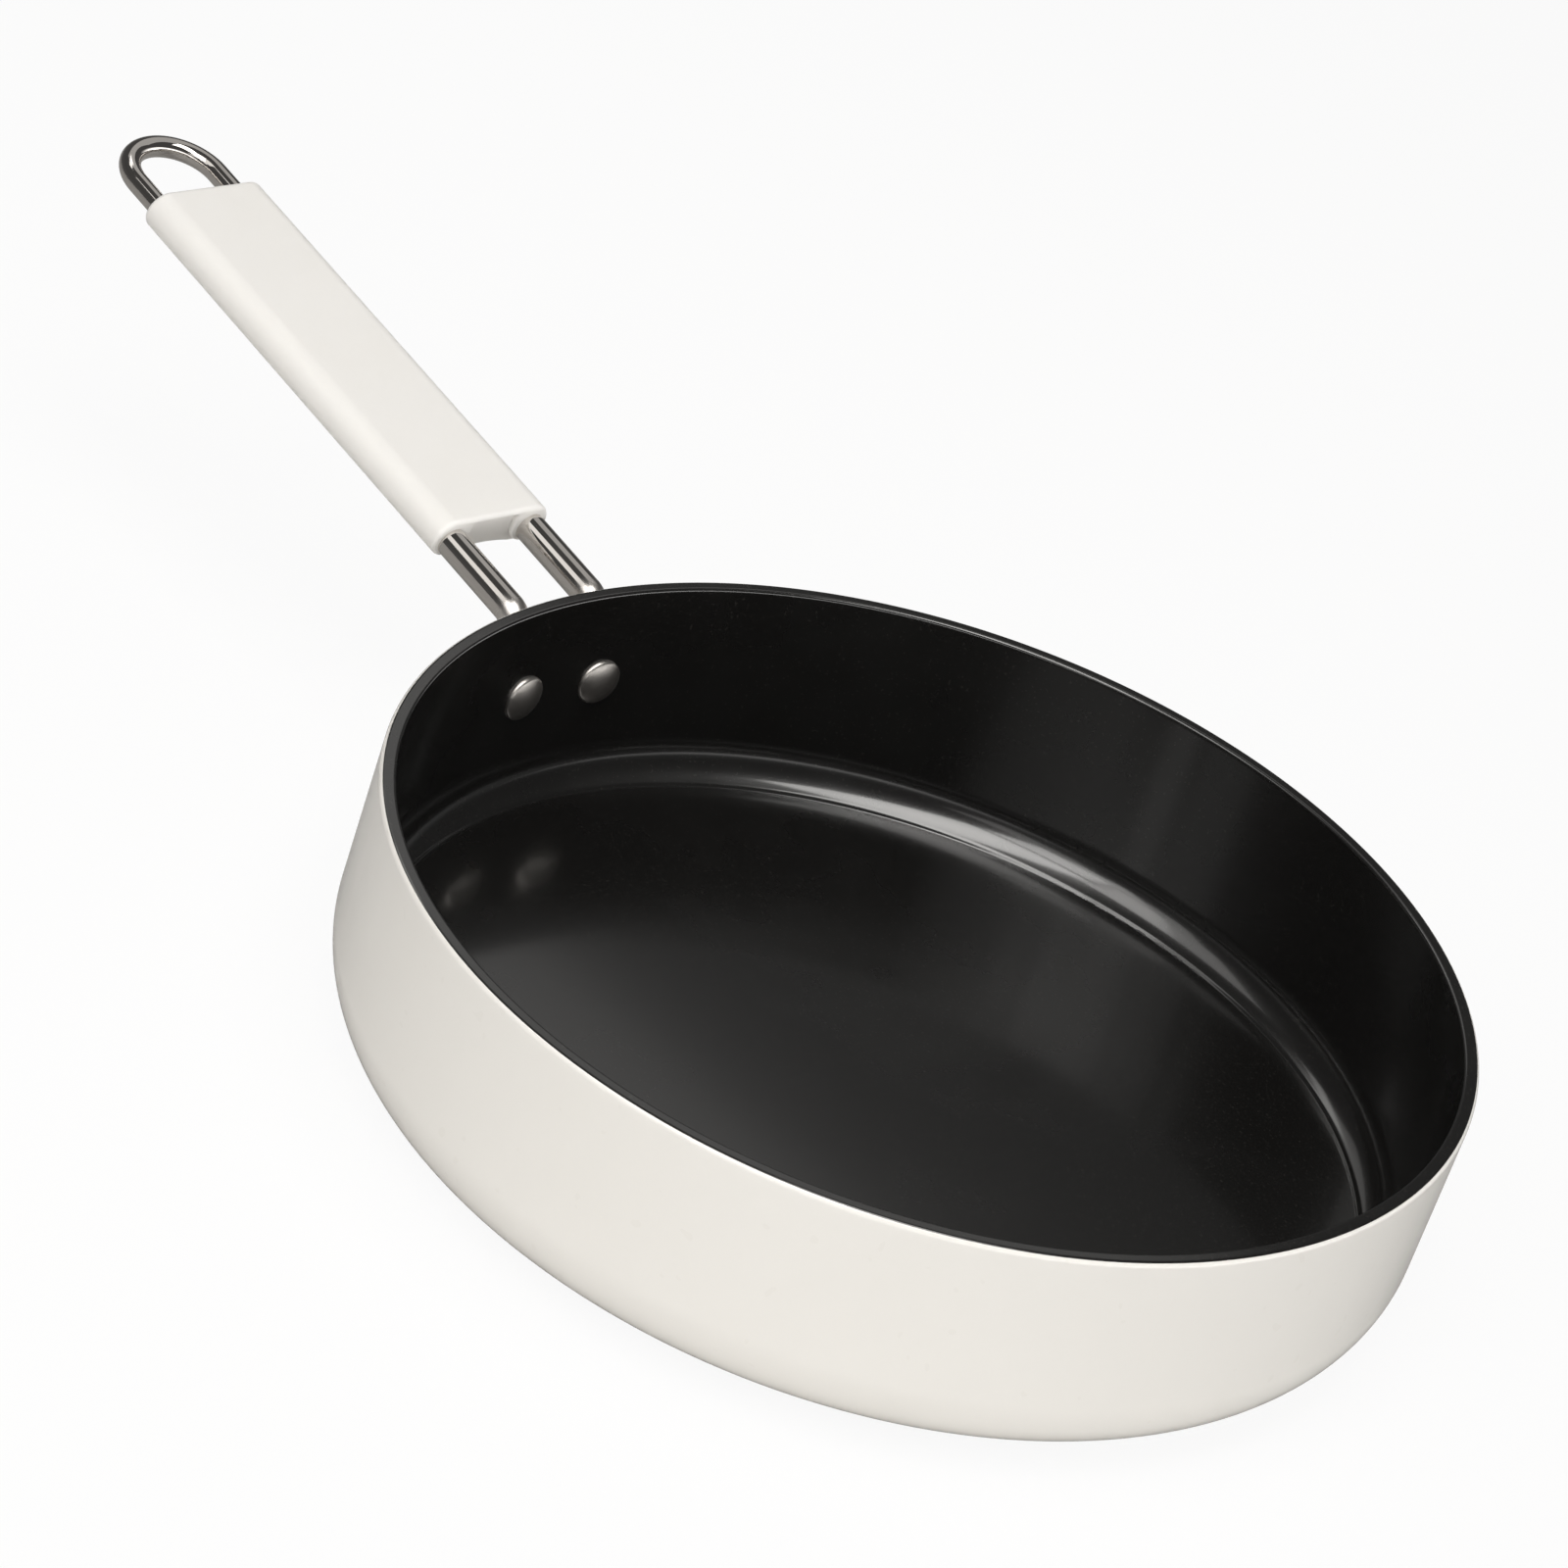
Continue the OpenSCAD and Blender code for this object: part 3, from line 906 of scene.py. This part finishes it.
@dataclass
class Rivets:
    """Two rivets: a low-domed button inside the pan, a driven end on the tang outside."""

    across: float = 13.7 * MM
    wall: float = 141 * MM
    inner: float = 136.8 * MM
    tang: float = 2.05 * MM
    height: float = 37.6 * MM
    head_radius: float = 6.5 * MM
    head_height: float = 2.4 * MM
    tail_radius: float = 4.8 * MM
    tail_height: float = 1.8 * MM
    edge: float = 1.1 * MM
    shank: float = 3 * MM
    seat_lift: float = 0.2 * MM
    ring_points: int = 96
    edge_points: int = 12
    dome_points: int = 22

    def button(self, radius: float, height: float) -> Array:
        """Half section (r, h) of a rivet end, seat to middle: a round edge, then a low dome."""
        edge_x = radius - self.edge
        dome = (edge_x**2 + height**2 - self.edge**2) / (2 * (height - self.edge))
        meet = math.degrees(math.atan2(dome - height, edge_x))
        rounding = arc((edge_x, 0), self.edge, 0, meet, self.edge_points)
        return joined(rounding, arc((0, height - dome), dome, meet, 90, self.dome_points))

    def surface(self, side: Side) -> Array:
        """Rings of one rivet from the middle of its head to the middle of its driven end.

        The section is turned about the rivet's own axis, which points straight out through the
        wall. The head's seat stands where its rim meets the round wall, at sqrt(R^2 - r^2).

        Args:
            side: The side of the handle.

        Returns:
            Rings, shape (rows, columns, 3).
        """
        seat = math.sqrt(self.inner**2 - self.head_radius**2)
        head = self.button(self.head_radius, self.head_height)[::-1]
        tail = self.button(self.tail_radius, self.tail_height)
        back, outside = seat + self.seat_lift, self.wall + self.tang
        profile = joined(
            points_of(head[:, 0], seat - head[:, 1]),
            line((self.head_radius, back), (self.shank, back), 3),
            line((self.shank, back), (self.shank, outside), 3),
            points_of(tail[:, 0], outside + tail[:, 1]),
        )
        rings = revolved(profile, self.ring_points)[..., [2, 0, 1]]
        angle = math.degrees(math.asin(self.across / self.wall))
        return turned(rings, "Z", side.value * angle) + np.array((0, 0, self.height))

    def build(self, materials: Materials) -> None:
        """Makes both rivets. The first stands for the node of both, the second for none."""
        for side, nodes in ((Side.LEFT, ("rivets",)), (Side.RIGHT, ())):
            rivet = closed_mesh(f"rivet_{side.name.lower()}", self.surface(side), Ends.POLES)
            dress(rivet, materials, Slot.SATIN, *nodes)


@dataclass
class Grip:
    """Moulded grip: two round bosses and a web, hollow below, with a pocket at the pan end."""

    frame: HandleFrame
    start: float = 35 * MM
    length: float = 137.3 * MM
    across: float = 13.7 * MM
    boss: float = 5.9 * MM
    lift: float = 0.7 * MM
    skin: float = 1.7 * MM
    edge: float = 1.2 * MM
    arch: float = 1 * MM
    arch_half_width: float = 9.5 * MM
    pocket: float = 1.5 * MM
    pocket_edge: float = 0.3 * MM
    flank_turn: float = -174.0
    inner_edge_share: float = 0.35
    top_points: int = 24
    boss_points: int = 44
    pocket_points: int = 40
    blend_points: int = 6
    end_points: int = 9
    length_points: int = 40

    def half_outline(self, pocketed: bool) -> Array:
        """Right half of the outline (y, z) from the top middle clockwise to the lower middle.

        Args:
            pocketed: True for a section through the pocket, where the line climbs the inner
                side of the boss to the skin's underside; False where it follows the arch.

        Returns:
            Points in a fixed number, so that both outlines match point by point.
        """
        top, small = self.lift + self.boss, self.pocket_edge
        flank, roof = self.across - self.boss, top - self.skin
        outer = joined(
            line((0, top), (self.across, top), self.top_points),
            arc((self.across, self.lift), self.boss, 90, -90, self.boss_points),
        )
        if pocketed:
            inner = joined(
                arc((self.across, self.lift), self.boss, -90, self.flank_turn, 14),
                line((flank, self.lift), (flank, roof - small), 12),
                arc((flank - small, roof - small), small, 0, 90, 5),
                line((flank - small, roof), (0, roof), 12),
            )[1:]
        else:
            y = self.across * (1 - np.linspace(0, 1, self.pocket_points + 1)[1:])
            sink = np.clip(1 - (y / self.arch_half_width) ** 2, 0, None)
            inner = points_of(y, self.lift - self.boss + self.arch * sink)
        return np.concatenate((outer, inner))

    def outline(self, pocketed: bool) -> Array:
        """Whole outline (y, z), the right half and its mirror image."""
        half = self.half_outline(pocketed)
        return np.concatenate((half, half[-2:0:-1] * (-1, 1)))

    def inset(self, outline: Array, depth: float) -> Array:
        """Outline moved inwards, less along the pocket's edge than elsewhere.

        Args:
            outline: Points (y, z), clockwise.
            depth: How far the outer edge moves.

        Returns:
            Moved points, same shape.
        """
        ahead = unit(np.roll(outline, -1, axis=0) - outline)
        tangent = unit(ahead + np.roll(ahead, 1, axis=0))
        inwards = points_of(tangent[:, 1], -tangent[:, 0])
        half = len(outline) // 2 + 1
        outer = half - self.pocket_points
        inner = smooth_step(np.arange(half), outer, outer + self.blend_points)
        share = 1 - (1 - self.inner_edge_share) * inner
        share = np.concatenate((share, share[-2:0:-1]))[:, None]
        return outline + inwards * depth * share

    def surface(self) -> Array:
        """Rings of the grip along the handle's line.

        Each ring is the outline at one station. Near both ends it shrinks on a quarter circle,
        by e - sqrt(e^2 - (e - x)^2) at x from the end. At the pocket's depth the pocketed and
        the full outline lie in one plane, and the quads between them are the pocket's back.

        Returns:
            Rings, shape (rows, columns, 3), in the part's frame.
        """
        lean = np.radians(np.linspace(0, 90, self.end_points))
        step, depth = self.edge * (1 - np.cos(lean)), self.edge * (1 - np.sin(lean))
        pocketed, full = self.outline(True), self.outline(False)
        middle = eased(self.pocket, self.length - self.edge, self.length_points)[1:-1]
        rows = [self.inset(pocketed, d) for d in depth] + [pocketed, full]
        rows += [full] * len(middle) + [self.inset(full, d) for d in depth[::-1]]
        pocket_back = (self.pocket, self.pocket)
        places = np.concatenate((step, pocket_back, middle, self.length - step[::-1]))
        across, above = np.moveaxis(np.stack(rows), -1, 0)
        return self.frame.place(points_of(self.start + places[:, None], across, above))

    def build(self, materials: Materials) -> None:
        """Makes the grip and dresses it."""
        grip = closed_mesh("moulded_grip", self.surface(), Ends.CAPS)
        dress(grip, materials, Slot.GRIP, "grip")


@dataclass
class HangingLoop:
    """Wire bent to a half circle, its two ends held in the legs."""

    frame: HandleFrame
    across: float = 13.7 * MM
    radius: float = 3 * MM
    start: float = 130.3 * MM
    turn: float = 183.8 * MM
    ring_points: int = 64
    arm_points: int = 24
    turn_points: int = 96

    def surface(self) -> tuple[Array, Array]:
        """Rings of the wire and their unbent coordinates.

        The centre line is straight, a half circle and straight again. Each ring is a circle in
        the plane of the line's own sideways direction and the handle's upward direction.

        Returns:
            Rings, shape (rows, columns, 3), and the coordinates (v, w, along), same shape.
        """
        arm = line((self.start, self.across), (self.turn, self.across), self.arm_points)
        half = arc((self.turn, 0), self.across, 90, -90, self.turn_points)
        path = joined(arm, half, arm[::-1] * (1, -1))
        tangent = unit(np.gradient(path, axis=0))
        sideways = points_of(tangent[:, 1], -tangent[:, 0])
        angle = full_turn(self.ring_points)
        across, above = self.radius * np.cos(angle), self.radius * np.sin(angle)
        flat = path[:, None] + across[:, None] * sideways[:, None]
        rings = self.frame.place(points_of(flat[..., 0], flat[..., 1], above))
        return rings, points_of(across, above, travelled(path)[:, None])

    def build(self, materials: Materials) -> None:
        """Makes the loop and dresses it."""
        rings, run = self.surface()
        loop = closed_mesh("wire_loop", rings, Ends.CAPS, run)
        dress(loop, materials, Slot.POLISHED, "hanging_loop")


@dataclass
class Handle:
    """The whole handle in the order in which it is put together."""

    frame: HandleFrame = field(default_factory=HandleFrame)

    def build(self, materials: Materials, nodes: dict[str, Object]) -> None:
        """Makes every piece of the handle, and gives the pins their material."""
        for side in Side:
            Leg(side, self.frame).build(materials)
        Rivets().build(materials)
        Grip(self.frame).build(materials)
        HangingLoop(self.frame).build(materials)
        cover(nodes["retaining_pins"], materials[Slot.SATIN])


# --- the studio


def direction(azimuth: float, elevation: float) -> Array:
    """Unit vector from the part towards a place in the sky, azimuth from +X, in degrees."""
    a, e = math.radians(azimuth), math.radians(elevation)
    return np.array((math.cos(a) * math.cos(e), math.sin(a) * math.cos(e), math.sin(e)))


@dataclass(frozen=True)
class Softbox:
    """A level rectangular lamp over the table that shines down."""

    name: str
    x: Pair
    y: Pair
    radiance: float
    z: float = 1.2
    tint: Triple = (1.0, 0.985, 0.96)

    def build(self) -> None:
        """Makes the lamp. Its power is radiance times pi times its area."""
        lamp = bpy.data.lights.new(self.name, "AREA")
        lamp.shape = "RECTANGLE"
        lamp.size, lamp.size_y = self.x[1] - self.x[0], self.y[1] - self.y[0]
        lamp.energy = self.radiance * math.pi * lamp.size * lamp.size_y
        lamp.color = self.tint
        holder = placed(self.name, lamp)
        holder.location = (sum(self.x) / 2, sum(self.y) / 2, self.z)
        holder.visible_camera = False
        LOG.info("lamp %s: %.1f W", self.name, lamp.energy)


@dataclass
class Studio:
    """Pale floor, white surroundings and soft lamps.

    The lamps hang where the photo's lining mirrors bright places. The low fill on one side
    lights the outside of the wall and is too low for the lining to mirror it.
    """

    floor_half: float = 9.0
    floor_gap: float = 0.1 * MM
    floor_hole: float = 116.0 * MM
    floor_colour: Triple = (0.80, 0.795, 0.785)
    floor_white: float = 0.92
    floor_hidden: float = 0.5
    tint: Triple = (1.0, 0.99, 0.975)
    ambient: float = 0.07
    horizon: float = 0.02
    fill: float = 4.2
    fill_azimuth: float = 186.0
    fill_facing: Pair = (0.0, 0.9)
    fill_height: Pair = (0.08, 0.30)
    underneath: float = 0.55
    underneath_height: Pair = (-0.30, -0.45)
    lamps: tuple[Softbox, ...] = (
        Softbox("overhead", (-0.47, 0.08), (-0.25, 0.70), 5.6),
        Softbox("behind", (-0.47, 0.05), (0.78, 1.52), 4.6),
        Softbox("far_left", (-1.25, -0.32), (1.40, 2.30), 0.85),
        Softbox("far_middle", (-0.30, 0.36), (1.55, 1.93), 2.5),
        Softbox("far_tip", (0.00, 0.24), (1.93, 2.30), 2.2),
        Softbox("far_right", (0.38, 0.80), (1.52, 2.30), 1.15),
        Softbox("window", (0.10, 0.46), (0.45, 1.50), 2.8),
        Softbox("side", (0.48, 0.95), (0.45, 1.50), 1.05),
        Softbox("strip", (1.15, 1.40), (-0.70, 0.05), 1.6),
        Softbox("card", (0.20, 0.85), (-0.55, -0.12), 0.42, 0.5),
    )

    def floor_material(self) -> Material:
        """Makes the floor's material.

        It takes shadows and is lifted to white where the camera sees it. Part of it is hidden
        from mirrors. It is clear from below and under the pan's base.

        Returns:
            The material.
        """
        material = bpy.data.materials.new("floor")
        material.use_nodes = True
        shader = Shader(material.node_tree)
        path = shader.add("LightPath").outputs
        lit = shader.add("BsdfDiffuse", {"Color": colour(self.floor_colour)})
        white = shader.add("Emission")
        seen = shader.math("MULTIPLY", path["Is Camera Ray"], self.floor_white)
        mirrored = shader.math("MULTIPLY", path["Is Glossy Ray"], self.floor_hidden)
        under = shader.math("LESS_THAN", shader.vector("LENGTH", shader.place()), self.floor_hole)
        below = shader.math("MAXIMUM", shader.add("NewGeometry").outputs["Backfacing"], under)
        surface = shader.blended(mirrored, shader.blended(seen, lit, white))
        surface = shader.blended(below, surface, shader.add("BsdfTransparent"))
        shader.add("OutputMaterial", {"Surface": surface.outputs[0]})
        return material

    def build_floor(self) -> None:
        """Makes the floor, a hair under the part."""
        mesh = bpy.data.meshes.new("floor")
        h, z = self.floor_half, -self.floor_gap
        mesh.from_pydata([(-h, -h, z), (h, -h, z), (h, h, z), (-h, h, z)], [], [(0, 1, 2, 3)])
        mesh.materials.append(self.floor_material())
        floor = placed("floor", mesh)

    def build_world(self) -> None:
        """Makes the surroundings.

        They are white to the camera. To everything else they are dim, with the fill low on one
        side and a soft light from underneath, which only the pan's base can see.
        """
        world = bpy.data.worlds.new("studio")
        world.use_nodes = True
        bpy.context.scene.world = world
        shader = Shader(world.node_tree)
        path = shader.add("LightPath").outputs
        sky = shader.add("TexCoord").outputs["Generated"]
        facing = shader.vector("DOT_PRODUCT", sky, tuple(direction(self.fill_azimuth, 0)))
        height = shader.add("SeparateXYZ", {0: sky}).outputs["Z"]
        low = shader.ranged(shader.math("ABSOLUTE", height), self.fill_height, (1.0, 0.0))
        beside = shader.ranged(facing, self.fill_facing, (self.horizon, self.fill))
        rising = shader.ranged(height, self.underneath_height, (0.0, self.underneath))
        room = shader.math("ADD", shader.math("MULTIPLY", beside, low), rising)
        room = shader.math("ADD", room, self.ambient)
        strength = shader.math("MAXIMUM", room, path["Is Camera Ray"])
        back = shader.add("Background", {"Color": colour(self.tint), "Strength": strength})
        shader.add("OutputWorld", {"Surface": back.outputs[0]})

    def build(self) -> None:
        """Makes floor, surroundings and lamps."""
        self.build_floor()
        self.build_world()
        for lamp in self.lamps:
            lamp.build()


@dataclass
class PhotoCamera:
    """The photograph's view: its direction, roll, distance and lens."""

    azimuth: float = 127.72
    elevation: float = 30.22
    roll: float = 19.28
    distance: float = 1.50183
    target: Triple = (0.05832, -0.00212, 0.0597)
    focal_pixels: float = 6097.4

    def build(self) -> None:
        """Makes the camera and sets it as the scene's own."""
        back = Vector(direction(self.azimuth, self.elevation))
        turn = back.to_track_quat("Z", "Y") @ Quaternion((0, 0, 1), math.radians(self.roll))
        data = bpy.data.cameras.new("photo")
        data.sensor_width = SENSOR_WIDTH
        data.lens = self.focal_pixels * SENSOR_WIDTH / PHOTO_PIXELS
        camera = placed("photo", data)
        place = Vector(self.target) + back * self.distance
        camera.matrix_world = Matrix.LocRotScale(place, turn, None)
        bpy.context.scene.camera = camera


def main() -> None:
    """Loads the part, dresses it and sets up the studio."""
    logging.basicConfig(level=logging.INFO, format="%(name)s: %(message)s")
    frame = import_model()
    bpy.context.scene.view_settings.view_transform = "Standard"
    for make_group in (smudge_group, grain_group, turning_group):
        make_group()
    materials = {finish.slot: finish.build() for finish in FINISHES}
    Pan().build(materials, frame["nodes"])
    Handle().build(materials, frame["nodes"])
    Studio().build()
    PhotoCamera().build()


if __name__ == "__main__":
    main()
